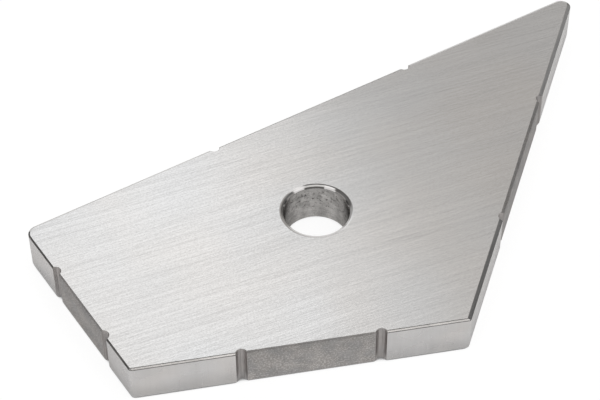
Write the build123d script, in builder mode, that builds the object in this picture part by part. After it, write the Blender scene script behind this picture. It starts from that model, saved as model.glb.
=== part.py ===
from build123d import *
from math import acos, atan2, cos, radians, sin
import os

# All sizes are in millimetres and degrees.

# Straight edges of the plate, each measured between the sharp corners it would run to
shortest_edge = 28.4
short_edge = 44.0
long_edge = 66.8
longest_edge = 92.0
heel_angle = 88.35  # between the longest and the shortest edge
thickness = 6.0

# Rounding of the four corners, seen from above
heel_radius = 1.5
shoulder_radius = 0.45
elbow_radius = 0.35
tip_radius = 1.35

# Ground lands at both ends of each edge, from the sharp corner to the middle of the relief groove
shortest_land_at_heel = 8.8
shortest_land_at_shoulder = 6.7
short_land_at_shoulder = 14.2
short_land_at_elbow = 11.7
long_land_at_elbow = 18.8
long_land_at_tip = 24.2
longest_land_at_tip = 31.0
longest_land_at_heel = 29.3

# Half-round relief grooves, and the cut face between them that stands back from the lands
groove_radius = 0.7
recess_depth = 0.12

# Broken rims: how far each slope reaches in from its own wall, and how far down or up that wall
shortest_break = 0.15
short_break = 0.32
long_break = 0.5
longest_break = 0.35
recess_break = 0.18
top_break_depth = 0.25
under_break_depth = 0.4

# Hole with a shallow countersink on top, placed by its distances from the heel corner
bore_radius = 4.4
countersink_radius = 5.0
countersink_angle = 130.0
hole_along_longest_edge = 35.1
hole_across_plate = 17.55

# Sharp corners: the heel is set by the hole, the tip lies along X from it, and the shoulder and
# the elbow follow from the lengths of the edges
heel = Vector(-hole_along_longest_edge, hole_across_plate)
tip = heel + Vector(longest_edge, 0)
shoulder = heel + Vector(cos(radians(heel_angle)), -sin(radians(heel_angle))) * shortest_edge
diagonal = tip - shoulder
diagonal_bearing = atan2(diagonal.Y, diagonal.X)
elbow_swing = acos(
    (short_edge**2 + diagonal.length**2 - long_edge**2) / (2 * short_edge * diagonal.length)
)
short_bearing = diagonal_bearing - elbow_swing
elbow = shoulder + Vector(cos(short_bearing), sin(short_bearing)) * short_edge

corners = [heel, shoulder, elbow, tip]
corner_radii = [heel_radius, shoulder_radius, elbow_radius, tip_radius]
breaks = [shortest_break, short_break, long_break, longest_break]  # one for the edge after each corner
lands = [
    (shortest_land_at_heel, shortest_land_at_shoulder),
    (short_land_at_shoulder, short_land_at_elbow),
    (long_land_at_elbow, long_land_at_tip),
    (longest_land_at_tip, longest_land_at_heel),
]


# Corner where two neighbouring edges meet once each has moved inwards by its own break
def inset_corner(number):
    before = (corners[number] - corners[number - 1]).normalized()
    after = (corners[(number + 1) % 4] - corners[number]).normalized()
    slide = (breaks[number - 1] * before.dot(after) - breaks[number]) / before.cross(after).Z
    return corners[number] + before * slide + before.rotate(Axis.Z, 90) * breaks[number - 1]


# Radius of the rim at a corner: concentric with the wall where the wall's rounding leaves room
def inset_radius(number):
    mean_break = (breaks[number - 1] + breaks[number]) / 2
    return max(corner_radii[number] - mean_break, 0.3 * corner_radii[number])


rim_corners = [inset_corner(number) for number in range(4)]
rim_radii = [inset_radius(number) for number in range(4)]

# Heights at which every wall changes its slope, and whether the rim is at its full wall there
wall_levels = [
    (0, False),
    (under_break_depth, True),
    (thickness - top_break_depth, True),
    (thickness, False),
]

with BuildPart() as plate:
    # Blank with all four walls upright and the rims broken above and below
    for height, full_wall in wall_levels:
        points, radii = (corners, corner_radii) if full_wall else (rim_corners, rim_radii)
        with BuildSketch(Plane.XY.offset(height)):
            with BuildLine():
                FilletPolyline(*points, radius=radii, close=True)
            make_face()
    loft(ruled=True)

    for number, (first_land, last_land) in enumerate(lands):
        start = corners[number]
        edge = corners[(number + 1) % 4] - start
        recess_length = edge.length - first_land - last_land
        edge_plane = Plane(origin=start, x_dir=edge, z_dir=(0, 0, 1))

        # Recessed face between the two lands, with rims of its own
        for height, full_wall in wall_levels:
            depth = recess_depth if full_wall else recess_depth + recess_break
            with BuildSketch(edge_plane.offset(height)):
                with Locations((first_land + recess_length / 2, 0)):
                    Rectangle(recess_length, 2 * depth)
        loft(ruled=True, mode=Mode.SUBTRACT)

        # Relief groove where each land ends
        with BuildSketch(edge_plane):
            with Locations((first_land, 0), (edge.length - last_land, 0)):
                Circle(groove_radius)
        extrude(amount=thickness, mode=Mode.SUBTRACT)

    # Hole to hang the plate by
    with Locations((0, 0, thickness)):
        CounterSinkHole(bore_radius, countersink_radius, counter_sink_angle=countersink_angle)

plate.part.label = "fret_rocker_plate"

os.makedirs("parts", exist_ok=True)
export_step(plate.part, "parts/fret_rocker_plate.step")
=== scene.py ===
import bmesh
import bpy
from math import acos, asin, atan2, cos, pi, radians, sin, tan
from mathutils import Matrix, Vector


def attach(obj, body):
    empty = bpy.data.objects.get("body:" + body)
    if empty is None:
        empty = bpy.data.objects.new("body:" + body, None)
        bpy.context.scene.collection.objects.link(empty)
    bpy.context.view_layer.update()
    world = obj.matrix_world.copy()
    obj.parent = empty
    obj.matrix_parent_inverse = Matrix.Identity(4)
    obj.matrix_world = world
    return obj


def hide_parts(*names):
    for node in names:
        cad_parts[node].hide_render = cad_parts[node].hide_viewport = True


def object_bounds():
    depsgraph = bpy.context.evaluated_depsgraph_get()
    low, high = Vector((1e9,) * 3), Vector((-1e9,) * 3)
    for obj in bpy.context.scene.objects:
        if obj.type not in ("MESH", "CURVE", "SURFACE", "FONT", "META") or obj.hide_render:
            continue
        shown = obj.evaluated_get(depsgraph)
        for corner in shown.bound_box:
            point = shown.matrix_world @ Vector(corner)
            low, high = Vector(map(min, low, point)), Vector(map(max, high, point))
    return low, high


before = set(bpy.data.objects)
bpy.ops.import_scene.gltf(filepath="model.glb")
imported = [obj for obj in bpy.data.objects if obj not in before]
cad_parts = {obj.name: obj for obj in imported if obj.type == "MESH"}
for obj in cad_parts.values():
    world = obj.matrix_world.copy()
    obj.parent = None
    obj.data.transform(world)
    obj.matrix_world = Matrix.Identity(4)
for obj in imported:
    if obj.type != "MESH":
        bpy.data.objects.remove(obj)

mm = 0.001
uvPerMm = 0.01
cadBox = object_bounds()
print("frame loaded")

# The plate in millimetres. Seen from above its corners run heel, shoulder, elbow, tip,
# and each list over the edges starts at the edge from heel to shoulder
plate = {
    "edges": (28.4, 44.0, 66.8, 92.0),
    "heelAngle": 88.35,
    "thickness": 6.0,
    "cornerRadii": (1.5, 0.45, 0.35, 1.35),
    "leastRadius": 0.3,     # share of a corner's radius that its broken rim keeps
    "lands": ((8.8, 6.7), (14.2, 11.7), (18.8, 24.2), (31.0, 29.3)),
    "breaks": (0.15, 0.26, 0.5, 0.35),
    "topBreakDepth": 0.21,
    "underBreakDepth": 0.4,
    "recessDepth": 0.12,
    "recessBreak": 0.18,
    "grooveRadius": 0.7,
    "grooveBreak": 0.05,
    "lip": 0.05,            # flat worn on the upright edges of each groove
    "soften": 0.05,         # rounding left on every other sharp edge
    "softenShare": 0.15,    # part of a slope that the rounding takes at each end
    "grainAngle": -4.5,     # direction of the brushing from the longest edge
    "cornerSteps": 12,
    "grooveSteps": 20,
    "wideShare": 0.8,       # part of its widest face's area that a face needs to set a vertex's normal
}

# The hole, whose axis stands at the origin
hole = {
    "fromHeel": (35.1, 17.55),
    "boreRadius": 4.4,
    # radius and depth down the countersink and over its lip into the bore
    "sink": ((5.0, 0), (4.97, 0.004), (4.83, 0.033), (4.79, 0.047), (4.58, 0.128), (4.55, 0.145),
             (4.44, 0.285), (4.42, 0.35), (4.4, 0.45), (4.4, 0.8)),
    "polishedBands": 8,     # how many of the bands between those rings are polished
    "soften": 0.05,
    "steps": 144,
}

finishes = ("brushedFace", "groundLand", "cutRecess", "grooveWall", "brokenRim", "rimLine",
            "countersink", "boreWall")


def plateCorners():
    shortest, short, longer, longest = plate["edges"]
    heel = Vector((-hole["fromHeel"][0], hole["fromHeel"][1]))
    tip = heel + Vector((longest, 0))
    turn = radians(plate["heelAngle"])
    shoulder = heel + Vector((cos(turn), -sin(turn))) * shortest
    diagonal = tip - shoulder
    swing = acos((short**2 + diagonal.length**2 - longer**2) / (2 * short * diagonal.length))
    bearing = atan2(diagonal.y, diagonal.x) - swing
    elbow = shoulder + Vector((cos(bearing), sin(bearing))) * short
    return [heel, shoulder, elbow, tip]


corners = plateCorners()
along = [(corners[(number + 1) % 4] - corners[number]).normalized() for number in range(4)]
inward = [Vector((-way.y, way.x)) for way in along]


# Rounded corner between two edges that have both moved inwards
def cornerArc(number, insets):
    before, after = along[number - 1], along[number]
    insetBefore, insetAfter = insets[number - 1], insets[number]
    across = before.cross(after)
    turn = atan2(across, before.dot(after))
    slide = (insetBefore * before.dot(after) - insetAfter) / across
    sharp = corners[number] + before * slide + inward[number - 1] * insetBefore
    wallRadius = plate["cornerRadii"][number]
    radius = max(wallRadius - (insetBefore + insetAfter) / 2, plate["leastRadius"] * wallRadius)
    centre = sharp - before * radius * tan(turn / 2) + inward[number - 1] * radius
    start = atan2(-inward[number - 1].y, -inward[number - 1].x)
    steps = plate["cornerSteps"]
    angles = [start + turn * step / steps for step in range(steps + 1)]
    return [centre + radius * Vector((cos(angle), sin(angle))) for angle in angles]


# A groove with its two worn lips, as distances along the edge and in from it
def grooveRun(middle, insetBefore, insetAfter, radius):
    lip, steps = plate["lip"], plate["grooveSteps"]
    first, last = asin(insetBefore / radius), asin(insetAfter / radius)
    start, end = pi - first - lip / radius, last + lip / radius
    run = [(middle - radius * cos(first) - lip, insetBefore)]
    for step in range(steps + 1):
        angle = start + (end - start) * step / steps
        run.append((middle + radius * cos(angle), radius * sin(angle)))
    run.append((middle + radius * cos(last) + lip, insetAfter))
    return run


# The whole outline at one height: share is how much of each break is cut away there
def outlineRing(share, extra):
    insets = [share * width + extra for width in plate["breaks"]]
    radius = plate["grooveRadius"] + share * plate["grooveBreak"] + extra
    points = []
    for number, (firstLand, lastLand) in enumerate(plate["lands"]):
        ownInset = plate["recessDepth"] + share * plate["recessBreak"] + extra
        recessInset = max(ownInset, insets[number])
        length = plate["edges"][number]
        run = grooveRun(firstLand, insets[number], recessInset, radius)
        run += grooveRun(length - lastLand, recessInset, insets[number], radius)
        points += cornerArc(number, insets)
        points += [corners[number] + along[number] * way + inward[number] * depth for way, depth in run]
    return points


# What lies between each point of the outline and the next one, with the number of its edge
def outlineParts():
    groove = ["lip"] + ["groove"] * plate["grooveSteps"] + ["lip"]
    half = plate["cornerSteps"] // 2
    parts = []
    for edge in range(4):
        parts += [("corner", (edge - 1) % 4)] * half + [("corner", edge)] * half
        parts += [(part, edge) for part in ["land"] + groove + ["recess"] + groove + ["land"]]
    return parts


# Three rows of values that take a profile round one of its corners
def softened(before, corner, after):
    middle = tuple((a + 2 * b + c) / 4 for a, b, c in zip(before, corner, after))
    return [before, middle, after]


# Rings of the wall from the top face down, each as height, share of the break and extra inset
def wallProfile():
    top, under, height = plate["topBreakDepth"], plate["underBreakDepth"], plate["thickness"]
    soften, share = plate["soften"], plate["softenShare"]
    rest = 1 - share
    return (
        softened((height, 1, soften), (height, 1, 0), (height - share * top, rest, 0))
        + softened((height - rest * top, share, 0), (height - top, 0, 0), (height - top - soften, 0, 0))
        + softened((under + soften, 0, 0), (under, 0, 0), (under * rest, share, 0))
        + softened((under * share, rest, 0), (0, 1, 0), (0, 1, soften))
    )


# Rings of the hole from the top face down, each as height and radius
def holeProfile():
    bore, soften = hole["boreRadius"], hole["soften"]
    sunken = [(plate["thickness"] - depth, radius) for radius, depth in hole["sink"]]
    return sunken + softened((soften, bore), (0, bore), (0, bore + soften))


# What lies between each ring of the wall and the next one
wallBands = ("rimLine", "rimLine", "slope", "rimLine", "rimLine", "wall",
             "softLine", "softLine", "slope", "softLine", "softLine")

# Finish of the lines beside each edge's upper slope, and of the slope itself. The rimLine finish is
# painted shade: a dark steel along the rims of the first two edges
rimFinishes = (("rimLine", "rimLine"), ("rimLine", "brokenRim"),
               ("brokenRim", "brokenRim"), ("brokenRim", "brokenRim"))


def wallFinish(band, part, edge):
    if part in ("groove", "lip"):
        return "grooveWall"
    if part == "recess":
        return "cutRecess"
    line, slope = rimFinishes[edge]
    return {"rimLine": line, "slope": slope, "wall": "groundLand", "softLine": "groundLand"}[band]


def holeFinish(band):
    return "countersink" if band < hole["polishedBands"] else "boreWall"


# Faces between neighbouring rings, with the grain's coordinates along the outline and down the wall
def stitchRings(mesh, grain, rings, lengths, depths, facesOut, finishOf):
    count = len(rings[0])
    for row in range(len(rings) - 1):
        for column in range(count):
            after = (column + 1) % count
            spots = [(row, column, column), (row + 1, column, column),
                     (row + 1, after, column + 1), (row, after, column + 1)]
            if not facesOut:
                spots.reverse()
            face = mesh.faces.new([rings[ring][place] for ring, place, _ in spots])
            face.smooth = True
            face.material_index = finishes.index(finishOf(row, column))
            for loop, (ring, _, mark) in zip(face.loops, spots):
                loop[grain].uv = (lengths[mark] * uvPerMm, depths[ring] * uvPerMm)


# Flat face between the outline and the hole, with the grain's coordinates along the brushing
def fillFlat(mesh, grain, outer, inner, up):
    stitched = set(mesh.faces)
    edges = [mesh.edges.get((ring[place - 1], ring[place]))
             for ring in (outer, inner) for place in range(len(ring))]
    bmesh.ops.triangle_fill(mesh, use_beauty=True, use_dissolve=False, edges=edges, normal=(0, 0, up))
    angle = radians(plate["grainAngle"])
    flats = set(mesh.faces) - stitched
    for face in flats:
        if face.normal.z * up < 0:
            face.normal_flip()
        face.smooth = True
        face.material_index = finishes.index("brushedFace")
        for loop in face.loops:
            x, y = loop.vert.co.x / mm, loop.vert.co.y / mm
            way = (x * cos(angle) + y * sin(angle), up * (y * cos(angle) - x * sin(angle)))
            loop[grain].uv = (way[0] * uvPerMm, way[1] * uvPerMm)
    return flats


# Normal of the flat face at a vertex, or else of its widest faces, so that only the narrow ones look round
def vertexNormal(vertex, flats):
    faces = [face for face in vertex.link_faces if face in flats] or list(vertex.link_faces)
    enough = plate["wideShare"] * max(face.calc_area() for face in faces)
    return sum((face.normal for face in faces if face.calc_area() > enough), Vector()).normalized()


# Distance from the first point to each of the others, and back to the first
def runningLengths(points):
    lengths = [0]
    for number in range(len(points)):
        step = Vector(points[(number + 1) % len(points)]) - Vector(points[number])
        lengths.append(lengths[-1] + step.length)
    return lengths


def buildPlate():
    mesh = bmesh.new()
    grain = mesh.loops.layers.uv.new("grain")

    profile = wallProfile()
    outlines = [outlineRing(share, extra) for _, share, extra in profile]
    walls = [
        [mesh.verts.new((point.x * mm, point.y * mm, height * mm)) for point in outline]
        for (height, _, _), outline in zip(profile, outlines)
    ]
    parts = outlineParts()
    widest = max(plate["breaks"])
    depths = runningLengths([(share * widest + extra, height) for height, share, extra in profile])
    fullWall = outlines[[share for _, share, _ in profile].index(0)]
    stitchRings(mesh, grain, walls, runningLengths(fullWall), depths, True,
                lambda row, column: wallFinish(wallBands[row], *parts[column]))

    profile = holeProfile()
    angles = [2 * pi * step / hole["steps"] for step in range(hole["steps"])]
    bores = [
        [mesh.verts.new((radius * cos(angle) * mm, radius * sin(angle) * mm, height * mm))
         for angle in angles]
        for height, radius in profile
    ]
    rounds = [2 * pi * hole["boreRadius"] * step / hole["steps"] for step in range(hole["steps"] + 1)]
    stitchRings(mesh, grain, bores, rounds, runningLengths(profile), False,
                lambda row, column: holeFinish(row))

    flats = fillFlat(mesh, grain, walls[0], bores[0], 1) | fillFlat(mesh, grain, walls[-1], bores[-1], -1)

    mesh.normal_update()
    normals = [vertexNormal(vertex, flats) for vertex in mesh.verts]
    data = bpy.data.meshes.new("rocker_plate")
    mesh.to_mesh(data)
    mesh.free()
    data.normals_split_custom_set_from_vertices(normals)
    piece = bpy.data.objects.new("rocker_plate", data)
    bpy.context.scene.collection.objects.link(piece)
    return piece


# Small helpers for shader nodes
def addNode(tree, kind, **settings):
    node = tree.nodes.new(kind)
    for name, value in settings.items():
        setattr(node, name, value)
    return node


def feed(tree, socket, value):
    if isinstance(value, bpy.types.NodeSocket):
        tree.links.new(value, socket)
    else:
        socket.default_value = value


# Feeds a node's first sockets in their order, and gives its first output
def feedInOrder(tree, node, *values):
    for socket, value in zip(node.inputs, values):
        feed(tree, socket, value)
    return node.outputs[0]


# Feeds a node's sockets by their names, and gives all its outputs
def feedByName(tree, node, values):
    for name, value in values.items():
        feed(tree, node.inputs[name], value)
    return node.outputs


def maths(tree, operation, first, second):
    return feedInOrder(tree, addNode(tree, "ShaderNodeMath", operation=operation), first, second)


def mapRange(tree, value, fromLow, fromHigh, toLow=0.0, toHigh=1.0):
    node = addNode(tree, "ShaderNodeMapRange", interpolation_type="SMOOTHSTEP")
    return feedInOrder(tree, node, value, fromLow, fromHigh, toLow, toHigh)


# One inside the two ends of a range and none outside, with soft ends
def window(tree, value, ends, soft):
    low, high = ends
    opening = mapRange(tree, value, low - soft, low + soft)
    closing = mapRange(tree, value, high - soft, high + soft, 1.0, 0.0)
    return maths(tree, "MULTIPLY", opening, closing)


def mixColors(tree, share, first, second, blend="MIX"):
    node = addNode(tree, "ShaderNodeMix", data_type="RGBA", blend_type=blend)
    colors = [socket for socket in node.inputs if socket.type == "RGBA"]
    feed(tree, node.inputs["Factor"], share)
    feed(tree, colors[0], first)
    feed(tree, colors[1], second)
    return next(socket for socket in node.outputs if socket.type == "RGBA")


def noise(tree, coordinates, scale, detail=2.0, roughness=0.5):
    values = {"Vector": coordinates, "Scale": scale, "Detail": detail, "Roughness": roughness}
    return feedByName(tree, addNode(tree, "ShaderNodeTexNoise"), values)[0]


def splitAxes(tree, coordinates):
    return feedByName(tree, addNode(tree, "ShaderNodeSeparateXYZ"), {"Vector": coordinates})


def turnedGrain(tree, grain, degrees):
    node = addNode(tree, "ShaderNodeMapping")
    feed(tree, node.inputs["Vector"], grain)
    node.inputs["Rotation"].default_value = (0, 0, radians(degrees))
    return node.outputs[0]


def numberSockets(*labels):
    return [(label, "NodeSocketFloat") for label in labels]


# An empty shader group, with its inputs and outputs given by their labels and kinds
def newGroup(name, inputs, outputs):
    tree = bpy.data.node_groups.new(name, "ShaderNodeTree")
    for way, sockets in (("INPUT", inputs), ("OUTPUT", outputs)):
        for label, kind in sockets:
            tree.interface.new_socket(name=label, in_out=way, socket_type=kind)
    return tree, addNode(tree, "NodeGroupInput").outputs, addNode(tree, "NodeGroupOutput").inputs


def useGroup(tree, group, **values):
    return feedByName(tree, addNode(tree, "ShaderNodeGroup", node_tree=group), values)


lineNoise = {
    "detail": 2.0,
    "roughness": 0.55,
    "contrast": (0.28, 0.72),
}


# Fine lines along the grain: Width and Length are those of one line, in millimetres
def makeLinesGroup():
    inputs = [("Grain", "NodeSocketVector")] + numberSockets("Width", "Length", "Seed")
    tree, given, made = newGroup("grainLines", inputs, numberSockets("Lines"))
    x, y, _ = splitAxes(tree, given["Grain"])
    lengthwise = maths(tree, "DIVIDE", x, given["Length"])
    across = maths(tree, "DIVIDE", y, given["Width"])
    node = addNode(tree, "ShaderNodeCombineXYZ")
    stretched = feedInOrder(tree, node, lengthwise, across, given["Seed"])
    lines = noise(tree, stretched, 1.0, lineNoise["detail"], lineNoise["roughness"])
    feed(tree, made["Lines"], mapRange(tree, lines, *lineNoise["contrast"]))
    return tree


cloudNoise = {
    "contrast": (0.3, 0.7),
    "tintDetail": 1.0,
    "tintShift": (37.0, 59.0, 17.0),    # how far off the tint's clouds are taken from
}


# Broad cloudiness of a worked surface: Shade for light and dark, Tint for warm and cool
def makeCloudGroup():
    inputs = [("Grain", "NodeSocketVector")] + numberSockets("Size")
    tree, given, made = newGroup("cloudiness", inputs, numberSockets("Shade", "Tint"))
    scale = maths(tree, "DIVIDE", 1.0, given["Size"])
    shade = noise(tree, given["Grain"], scale)
    feed(tree, made["Shade"], mapRange(tree, shade, *cloudNoise["contrast"]))
    node = addNode(tree, "ShaderNodeVectorMath", operation="ADD")
    shifted = feedInOrder(tree, node, given["Grain"], cloudNoise["tintShift"])
    tint = noise(tree, shifted, scale, cloudNoise["tintDetail"])
    feed(tree, made["Tint"], mapRange(tree, tint, *cloudNoise["contrast"]))
    return tree


speckNoise = {
    "detail": 3.0,
    "roughness": 0.7,
    "bareLevel": 0.75,      # height of the noise above which a grain starts when none is asked for
    "coverStep": 0.5,       # how far that level sinks when the grains cover everything
    "softness": 0.2,
}


# Grains of a cut or blasted surface: Specks is bright on the grains, Height rises with them
def makeSpeckGroup():
    inputs = [("Grain", "NodeSocketVector")] + numberSockets("Size", "Cover")
    tree, given, made = newGroup("specks", inputs, numberSockets("Specks", "Height"))
    scale = maths(tree, "DIVIDE", 1.0, given["Size"])
    grains = noise(tree, given["Grain"], scale, speckNoise["detail"], speckNoise["roughness"])
    lowered = maths(tree, "MULTIPLY", given["Cover"], speckNoise["coverStep"])
    start = maths(tree, "SUBTRACT", speckNoise["bareLevel"], lowered)
    end = maths(tree, "ADD", start, speckNoise["softness"])
    feed(tree, made["Specks"], mapRange(tree, grains, start, end))
    feed(tree, made["Height"], grains)
    return tree


# Steel colour from its plain colour, cloudiness and lines, which all swing about one half
def makeToneGroup():
    pairs = (("Shade", "Shade Depth"), ("Lines", "Line Depth"), ("Tint", "Tint Depth"))
    inputs = [("Steel", "NodeSocketColor")] + numberSockets(*pairs[0], *pairs[1], *pairs[2])
    tree, given, made = newGroup("steelTone", inputs, [("Color", "NodeSocketColor")])
    shade, lines, tint = [
        maths(tree, "MULTIPLY", maths(tree, "SUBTRACT", given[value], 0.5), given[depth])
        for value, depth in pairs
    ]
    level = maths(tree, "ADD", maths(tree, "ADD", 1.0, shade), lines)
    warm = maths(tree, "MULTIPLY", level, maths(tree, "ADD", 1.0, tint))
    cool = maths(tree, "MULTIPLY", level, maths(tree, "SUBTRACT", 1.0, tint))
    cast = feedInOrder(tree, addNode(tree, "ShaderNodeCombineColor"), warm, level, cool)
    feed(tree, made["Color"], mixColors(tree, 1.0, given["Steel"], cast, "MULTIPLY"))
    return tree


linesGroup = makeLinesGroup()
cloudGroup = makeCloudGroup()
speckGroup = makeSpeckGroup()
toneGroup = makeToneGroup()
print("shader groups made")


# A metal with its shader, and the grain's coordinates in millimetres
def startSteel(name):
    material = bpy.data.materials.new(name)
    material.use_nodes = True
    tree = material.node_tree
    shader = tree.nodes["Principled BSDF"]
    shader.inputs["Metallic"].default_value = 1.0
    grain = addNode(tree, "ShaderNodeUVMap", uv_map="grain")
    scaled = addNode(tree, "ShaderNodeVectorMath", operation="SCALE")
    feed(tree, scaled.inputs[0], grain.outputs[0])
    scaled.inputs["Scale"].default_value = 1 / uvPerMm
    return material, tree, shader, scaled.outputs[0]


# Lines of one stroke, given by its width, its length and the seed of its noise
def strokeLines(tree, grain, stroke):
    width, length, seed = stroke
    return useGroup(tree, linesGroup, Grain=grain, Width=width, Length=length, Seed=seed)[0]


# Colour of a finish, and its clouds. A finish without lines or tint leaves them out of its colour
def steelColor(tree, grain, finish, lines=0.5):
    cloud = useGroup(tree, cloudGroup, Grain=grain, Size=finish["cloudSize"])
    values = {"Steel": finish["steel"], "Shade": cloud["Shade"], "Shade Depth": finish["shadeDepth"],
              "Lines": lines, "Line Depth": finish.get("lineDepth", 0.0),
              "Tint": cloud["Tint"], "Tint Depth": finish.get("tintDepth", 0.0)}
    return useGroup(tree, toneGroup, **values)[0], cloud


# How far down its wall a spot lies, which is the grain's second coordinate
def depthDown(tree, grain):
    return splitAxes(tree, grain)[1]


def darkened(tree, tone, share):
    return mixColors(tree, share, tone, (0, 0, 0, 1))


# Roughness goes from its first to its second value as the pattern goes from dark to bright
def setRoughness(tree, shader, pattern, values, contrast=(0.0, 1.0)):
    feed(tree, shader.inputs["Roughness"], mapRange(tree, pattern, *contrast, *values))


def setBump(tree, shader, height, depth):
    bump = addNode(tree, "ShaderNodeBump")
    bump.inputs["Strength"].default_value = 1.0
    bump.inputs["Distance"].default_value = depth * mm
    feed(tree, bump.inputs["Height"], height)
    feed(tree, shader.inputs["Normal"], bump.outputs[0])


# How much of the light a metal still throws back at a flat angle
def setEdgeTint(shader, share):
    shader.inputs["Specular Tint"].default_value = (share, share, share, 1)


quarterTurn = 0.25


# Gloss that spreads across the grain: a quarter turn from the grain's own direction
def spreadAcross(tree, shader, anisotropy):
    shader.inputs["Anisotropic"].default_value = anisotropy
    shader.inputs["Anisotropic Rotation"].default_value = quarterTurn
    tangent = addNode(tree, "ShaderNodeTangent", direction_type="UV_MAP", uv_map="grain")
    feed(tree, shader.inputs["Tangent"], tangent.outputs[0])


brushed = {
    "steel": (0.71, 0.70, 0.69, 1),
    "roughness": (0.27, 0.23),
    "lineContrast": (0.2, 0.8),
    "anisotropy": 0.67,
    "fleck": (0.16, 0.24, 5.3),         # width and length in millimetres, and seed
    "fineLine": (0.17, 14.0, 0.0),
    "longLine": (0.22, 50.0, 3.7),
    "scratch": (0.14, 18.0, 8.1),
    "fleckShare": 0.42,
    "crossAngle": 7.0,                  # of the long lines and scratches, in degrees
    "lineDepth": 0.3,
    "scratchStart": 0.93,               # how bright a line has to be to count as a scratch
    "scratchDepth": 0.2,
    "scratchColor": (0.25, 0.24, 0.24, 1),
    "cloudSize": 14.0,
    "shadeDepth": 0.03,
    "tintDepth": 0.02,
    "bumpDepth": 0.0003,
}


def makeBrushedFace():
    material, tree, shader, grain = startSteel("brushed_face")
    crossed = turnedGrain(tree, grain, brushed["crossAngle"])
    flecks, fine = [strokeLines(tree, grain, brushed[name]) for name in ("fleck", "fineLine")]
    long, scratches = [strokeLines(tree, crossed, brushed[name]) for name in ("longLine", "scratch")]
    drawn = maths(tree, "MULTIPLY", maths(tree, "ADD", fine, long), (1 - brushed["fleckShare"]) / 2)
    lines = maths(tree, "ADD", drawn, maths(tree, "MULTIPLY", flecks, brushed["fleckShare"]))
    tone = steelColor(tree, grain, brushed, lines)[0]
    deep = mapRange(tree, scratches, brushed["scratchStart"], 1.0, 0.0, brushed["scratchDepth"])
    feed(tree, shader.inputs["Base Color"], mixColors(tree, deep, tone, brushed["scratchColor"]))
    setRoughness(tree, shader, lines, brushed["roughness"], brushed["lineContrast"])
    spreadAcross(tree, shader, brushed["anisotropy"])
    setBump(tree, shader, lines, brushed["bumpDepth"])
    return material


ground = {
    "steel": (0.78, 0.765, 0.755, 1),
    "edgeTint": 0.94,
    "roughness": (0.3, 0.2),
    "stroke": (0.5, 6.0, 0.0),
    "lineDepth": 0.03,
    "footPaintedShade": 0.2,       # painted shade: how much darker the land is painted at its foot, standing in for the shadowed floor it reflects
    "footHeight": 3.5,      # how far up from there that reaches
    "cloudSize": 5.0,
    "shadeDepth": 0.07,
    "tintDepth": 0.015,
    "bumpDepth": 0.002,
}


def makeGroundLand():
    material, tree, shader, grain = startSteel("ground_land")
    lines = strokeLines(tree, turnedGrain(tree, grain, 90), ground["stroke"])
    tone, cloud = steelColor(tree, grain, ground, lines)
    # Painted shade: the land is darkened towards its foot, where it would reflect the shadowed floor
    # beside it
    foot = plate["thickness"]
    start = foot - ground["footHeight"]
    paintedShade = mapRange(tree, depthDown(tree, grain), start, foot, 0.0, ground["footPaintedShade"])
    feed(tree, shader.inputs["Base Color"], darkened(tree, tone, paintedShade))
    setRoughness(tree, shader, cloud["Shade"], ground["roughness"])
    setEdgeTint(shader, ground["edgeTint"])
    setBump(tree, shader, lines, ground["bumpDepth"])
    return material


asCut = {
    "steel": (0.485, 0.467, 0.455, 1),
    "edgeTint": 0.75,
    "roughness": (0.6, 0.42),
    "grainSize": 0.24,
    "grainCover": (0.55, 0.65),     # where the grains are sparse, and where they are dense
    "speckColor": (0.85, 0.84, 0.825, 1),
    "speckDepth": 0.55,
    "upperRimPaintedShade": 0.13,               # painted shade: how much darker the cut face is painted at its upper rim
    "rimHeight": 4.5,               # how far down from there that reaches
    "cloudSize": 1.8,
    "shadeDepth": 0.16,
    "tintDepth": 0.03,
    "bumpDepth": 0.015,
}


def makeCutRecess():
    material, tree, shader, grain = startSteel("cut_recess")
    tone, cloud = steelColor(tree, grain, asCut)
    cover = mapRange(tree, cloud["Tint"], 0.0, 1.0, *asCut["grainCover"])
    specks = useGroup(tree, speckGroup, Grain=grain, Size=asCut["grainSize"], Cover=cover)
    bright = maths(tree, "MULTIPLY", specks["Specks"], asCut["speckDepth"])
    speckled = mixColors(tree, bright, tone, asCut["speckColor"])
    # Painted shade: the cut face is darkened towards its upper rim
    paintedShade = mapRange(tree, depthDown(tree, grain), 0.0, asCut["rimHeight"], asCut["upperRimPaintedShade"], 0.0)
    feed(tree, shader.inputs["Base Color"], darkened(tree, speckled, paintedShade))
    setRoughness(tree, shader, specks["Specks"], asCut["roughness"])
    setEdgeTint(shader, asCut["edgeTint"])
    setBump(tree, shader, specks["Height"], asCut["bumpDepth"])
    return material


groove = {
    "steel": (0.44, 0.42, 0.41, 1),
    "roughness": (0.45, 0.3),
    "stroke": (0.12, 8.0, 0.0),
    "lineDepth": 0.35,
    "cloudSize": 2.0,
    "shadeDepth": 0.15,
    "tintDepth": 0.02,
    "bumpDepth": 0.004,
}

rim = {
    "steel": (0.75, 0.74, 0.73, 1),
    "roughness": (0.25, 0.15),
    "stroke": (0.1, 5.0, 0.0),
    "lineDepth": 0.1,
    "cloudSize": 3.0,
    "shadeDepth": 0.08,
    "bumpDepth": 0.002,
}

sunk = {
    "steel": (0.62, 0.61, 0.6, 1),
    "roughness": (0.1, 0.05),
    "stroke": (0.08, 9.0, 0.0),
    "lineDepth": 0.2,
    "cloudSize": 2.5,
    "shadeDepth": 0.1,
    "bumpDepth": 0.0005,
}


# Steel whose lines run along the grain, or across it after a quarter turn
def makeLinedSteel(name, finish, degrees=0):
    material, tree, shader, grain = startSteel(name)
    lines = strokeLines(tree, turnedGrain(tree, grain, degrees), finish["stroke"])
    feed(tree, shader.inputs["Base Color"], steelColor(tree, grain, finish, lines)[0])
    setRoughness(tree, shader, lines, finish["roughness"])
    setBump(tree, shader, lines, finish["bumpDepth"])
    return material


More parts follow.
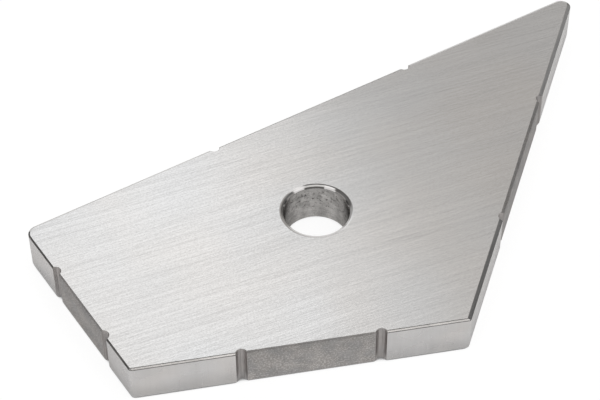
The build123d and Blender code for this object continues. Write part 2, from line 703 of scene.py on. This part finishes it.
def makeGrooveWall():
    return makeLinedSteel("groove_wall", groove, 90)


def makeBrokenRim():
    return makeLinedSteel("broken_rim", rim)


def makeCountersink():
    return makeLinedSteel("countersink", sunk)


# Painted shade: a dark steel that stands in for the shade and dark reflection along the rims
rimLinePaintedShade = {
    "steel": (0.17, 0.165, 0.16, 1),
    "roughness": (0.45, 0.3),
    "cloudSize": 1.5,
    "shadeDepth": 0.5,
}


# Material of the painted shade lines along the rims
def makeRimPaintedShadeLine():
    material, tree, shader, grain = startSteel("rim_painted_shade_line")
    tone, cloud = steelColor(tree, grain, rimLinePaintedShade)
    feed(tree, shader.inputs["Base Color"], tone)
    setRoughness(tree, shader, cloud["Shade"], rimLinePaintedShade["roughness"])
    return material


bored = {
    "steel": (0.60, 0.585, 0.57, 1),
    "edgeTint": 0.3,
    "roughness": (0.25, 0.4),
    "anisotropy": 0.5,
    "stroke": (0.25, 6.0, 0.0),
    "lineDepth": 0.2,
    "pitSize": 0.42,
    "pitCover": 0.5,
    "pitColor": (0.08, 0.075, 0.07, 1),
    "pitDepth": 0.8,
    "pitBand": (1.2, 4.2),      # depths between which the pits lie
    "pitFade": 0.4,
    "cloudSize": 1.5,
    "shadeDepth": 0.4,
    "bumpDepth": 0.01,
}


def makeBoreWall():
    material, tree, shader, grain = startSteel("bore_wall")
    lines = strokeLines(tree, grain, bored["stroke"])
    tone = steelColor(tree, grain, bored, lines)[0]
    pits = useGroup(tree, speckGroup, Grain=grain, Size=bored["pitSize"], Cover=bored["pitCover"])
    banded = window(tree, depthDown(tree, grain), bored["pitBand"], bored["pitFade"])
    marked = maths(tree, "MULTIPLY", maths(tree, "MULTIPLY", pits["Specks"], banded), bored["pitDepth"])
    feed(tree, shader.inputs["Base Color"], mixColors(tree, marked, tone, bored["pitColor"]))
    setRoughness(tree, shader, pits["Specks"], bored["roughness"])
    setEdgeTint(shader, bored["edgeTint"])
    spreadAcross(tree, shader, bored["anisotropy"])
    setBump(tree, shader, pits["Height"], -bored["bumpDepth"])
    return material


# A white floor that keeps part of the object's shadow
stage = {
    "size": 3.0,                # in metres
    "gap": 0.01,                # how far under the plate it lies, in millimetres
    "color": (0.9, 0.9, 0.9, 1),
    "cameraGlow": 0.9,          # plain white that the camera sees, over the light that falls there
    "cameraShaded": 0.22,
    "nook": 3.0,                # how near, in millimetres, walls must stand to keep their shadow
    "nookSamples": 32,
    "nookOpen": (0.25, 0.47),   # how much of the sky such a spot still sees, from dark to white
    "nookShade": 0.1,
    "metalGlow": 0.3,           # the same for what the metal reflects
    "metalShaded": 0.72,
}


# White that glows by itself, and keeps a share of the light and shadow that fall on it
def glowingWhite(tree, glow, shaded):
    diffuse = addNode(tree, "ShaderNodeBsdfDiffuse")
    diffuse.inputs["Color"].default_value = (shaded, shaded, shaded, 1)
    emission = addNode(tree, "ShaderNodeEmission")
    feed(tree, emission.inputs["Strength"], glow)
    both = addNode(tree, "ShaderNodeAddShader")
    return feedInOrder(tree, both, diffuse.outputs[0], emission.outputs[0])


def mixShaders(tree, share, first, second):
    return feedInOrder(tree, addNode(tree, "ShaderNodeMixShader"), share, first, second)


def makeWhiteFloor():
    material = bpy.data.materials.new("white_floor")
    material.use_nodes = True
    tree = material.node_tree
    tree.nodes.remove(tree.nodes["Principled BSDF"])
    path = addNode(tree, "ShaderNodeLightPath").outputs
    plain = addNode(tree, "ShaderNodeBsdfDiffuse")
    plain.inputs["Color"].default_value = stage["color"]
    mirrored = maths(tree, "MAXIMUM", path["Is Glossy Ray"], path["Is Transmission Ray"])
    reflected = glowingWhite(tree, stage["metalGlow"], stage["metalShaded"])
    unseen = mixShaders(tree, mirrored, plain.outputs[0], reflected)
    nook = addNode(tree, "ShaderNodeAmbientOcclusion", samples=stage["nookSamples"])
    nook.inputs["Distance"].default_value = stage["nook"] * mm
    shade = mapRange(tree, nook.outputs["AO"], *stage["nookOpen"], stage["nookShade"], 1.0)
    glow = maths(tree, "MULTIPLY", shade, stage["cameraGlow"])
    seen = glowingWhite(tree, glow, stage["cameraShaded"])
    surface = mixShaders(tree, path["Is Camera Ray"], unseen, seen)
    feed(tree, tree.nodes["Material Output"].inputs["Surface"], surface)
    return material


def buildFloor():
    data = bpy.data.meshes.new("floor")
    half, low = stage["size"] / 2, cadBox[0].z - stage["gap"] * mm
    ends = [(-half, -half, low), (half, -half, low), (half, half, low), (-half, half, low)]
    data.from_pydata(ends, [], [range(4)])
    data.materials.append(makeWhiteFloor())
    floor = bpy.data.objects.new("floor", data)
    bpy.context.scene.collection.objects.link(floor)


# The studio sky, mapped by how far a direction points sideways and forwards from one fixed bearing, the
# one that the photograph was taken along. Each panel is a soft-edged box on that map, and later ones lie
# over earlier ones. Lean is how far its upright edges move to the left for each step forwards
studio = {
    "bearing": 58.34,       # of the way forwards from +X, in degrees
    "leanFrom": 0.64,       # how far forwards a leaning panel is at the sides that it gives
    "room": (0.16, 0.155, 0.15, 1),
    "panels": (
        # dark sides ahead, pale sides behind
        {"side": (-1.2, -0.72), "reach": (0.2, 1.2), "soft": 0.06, "color": (0.06, 0.06, 0.06, 1)},
        {"side": (0.80, 1.2), "reach": (0.2, 1.2), "soft": 0.06, "color": (0.06, 0.06, 0.06, 1)},
        {"side": (-1.2, -0.80), "reach": (-1.2, 0.15), "soft": 0.06, "color": (0.4, 0.39, 0.38, 1)},
        {"side": (0.80, 1.2), "reach": (-1.2, 0.15), "soft": 0.06, "color": (0.4, 0.39, 0.38, 1)},
        # what the rim of the 66.8 mm edge reflects, dark near the elbow and lighter near the tip
        {"side": (0.56, 0.84), "reach": (0.34, 0.55), "soft": 0.03, "color": (0.12, 0.12, 0.12, 1)},
        {"side": (0.54, 0.80), "reach": (0.55, 0.78), "soft": 0.03, "color": (0.32, 0.32, 0.32, 1)},
        # what the sides of the countersink reflect
        {"side": (-0.56, -0.40), "reach": (0.18, 0.46), "soft": 0.03, "color": (0.2, 0.2, 0.2, 1)},
        {"side": (0.40, 0.55), "reach": (0.24, 0.42), "soft": 0.03, "color": (0.2, 0.2, 0.2, 1)},
        # far light behind the longest edge
        {"side": (-0.30, 0.30), "reach": (0.86, 1.3), "soft": 0.05, "color": (1.04, 1.03, 1.03, 1)},
        # what the top face reflects: dim at both sides, bright left of the middle
        {"side": (-0.62, -0.1), "reach": (0.60, 0.90), "soft": 0.05, "color": (0.5, 0.5, 0.5, 1)},
        {"side": (0.0, 0.42), "reach": (0.42, 0.90), "soft": 0.08, "color": (0.49, 0.475, 0.46, 1)},
        {"side": (-0.22, 0.05), "reach": (0.44, 0.87), "soft": 0.05, "lean": 0.7,
         "color": (1.22, 1.23, 1.24, 1)},
        # near light for the rim of the 44 mm edge, and a lamp overhead
        {"side": (0.08, 0.34), "reach": (-0.70, -0.46), "soft": 0.04, "color": (1.05, 1.02, 1.0, 1)},
        {"side": (-0.17, 0.27), "reach": (-0.22, 0.15), "soft": 0.04, "color": (0.97, 0.96, 0.95, 1)},
        # lamps that light the two bright patches of the countersink and its lip
        {"side": (0.125, 0.26), "reach": (0.24, 0.47), "soft": 0.02, "color": (1.35, 1.34, 1.34, 1)},
        {"side": (-0.11, 0.12), "reach": (-0.30, 0.24), "soft": 0.02, "lean": -0.46,
         "color": (1.35, 1.34, 1.34, 1)},
        {"side": (-0.30, 0.30), "reach": (-0.92, -0.28), "soft": 0.02, "lean": -0.46,
         "color": (0.98, 0.97, 0.97, 1)},
        {"side": (-0.12, 0.145), "reach": (-0.30, 0.26), "soft": 0.02, "lean": 0.63,
         "color": (1.35, 1.34, 1.34, 1)},
        {"side": (-0.31, 0.28), "reach": (-0.92, -0.28), "soft": 0.02, "lean": 0.63,
         "color": (1.05, 1.04, 1.04, 1)},
    ),
}


# How far a direction points along a bearing
def alongBearing(tree, way, bearing):
    node = addNode(tree, "ShaderNodeVectorMath", operation="DOT_PRODUCT")
    feed(tree, node.inputs[0], way)
    node.inputs[1].default_value = (cos(radians(bearing)), sin(radians(bearing)), 0)
    return node.outputs["Value"]


def buildStudio():
    world = bpy.data.worlds.new("studio")
    bpy.context.scene.world = world
    world.use_nodes = True
    tree = world.node_tree
    way = addNode(tree, "ShaderNodeTexCoord").outputs["Generated"]
    forwards = alongBearing(tree, way, studio["bearing"])
    sideways = alongBearing(tree, way, studio["bearing"] - 90)
    ahead = maths(tree, "SUBTRACT", forwards, studio["leanFrom"])
    light = studio["room"]
    for panel in studio["panels"]:
        side = sideways
        if "lean" in panel:
            side = maths(tree, "ADD", sideways, maths(tree, "MULTIPLY", ahead, panel["lean"]))
        inside = maths(tree, "MULTIPLY", window(tree, side, panel["side"], panel["soft"]),
                       window(tree, forwards, panel["reach"], panel["soft"]))
        light = mixColors(tree, inside, light, panel["color"])
    path = addNode(tree, "ShaderNodeLightPath")
    sky = mixColors(tree, path.outputs["Is Camera Ray"], light, (1, 1, 1, 1))
    feed(tree, tree.nodes["Background"].inputs["Color"], sky)


# The photograph's viewpoint, in millimetres from the hole's foot
view = {
    "spot": (-91.90, -146.92, 192.85),
    "aim": (2.02, 7.56, 0.03),
    "roll": -0.34,              # in degrees
    "focalPixels": 1890.5,
    "frameWidth": 600.0,        # in pixels
    "sensor": 36.0,
    "nearest": 10.0,            # how near the camera still sees anything
}


def placeCamera():
    data = bpy.data.cameras.new("camera")
    data.sensor_fit = "HORIZONTAL"
    data.sensor_width = view["sensor"]
    data.lens = view["focalPixels"] * view["sensor"] / view["frameWidth"]
    data.clip_start = view["nearest"] * mm
    camera = bpy.data.objects.new("camera", data)
    bpy.context.scene.collection.objects.link(camera)
    spot, aim = Vector(view["spot"]) * mm, Vector(view["aim"]) * mm
    facing = (aim - spot).to_track_quat("-Z", "Y").to_matrix().to_4x4()
    roll = Matrix.Rotation(radians(view["roll"]), 4, "Z")
    camera.matrix_world = Matrix.Translation(spot) @ facing @ roll
    bpy.context.scene.camera = camera


placeCamera()
buildFloor()
buildStudio()
print("stage, light and camera placed")

rockerPlate = buildPlate()
# One for each of the finishes, in their order
makers = (makeBrushedFace, makeGroundLand, makeCutRecess, makeGrooveWall, makeBrokenRim, makeRimPaintedShadeLine,
          makeCountersink, makeBoreWall)
for maker in makers:
    rockerPlate.data.materials.append(maker())
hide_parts("fret_rocker_plate")
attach(rockerPlate, "root")
print("plate built")

bpy.context.scene.view_settings.view_transform = "Standard"
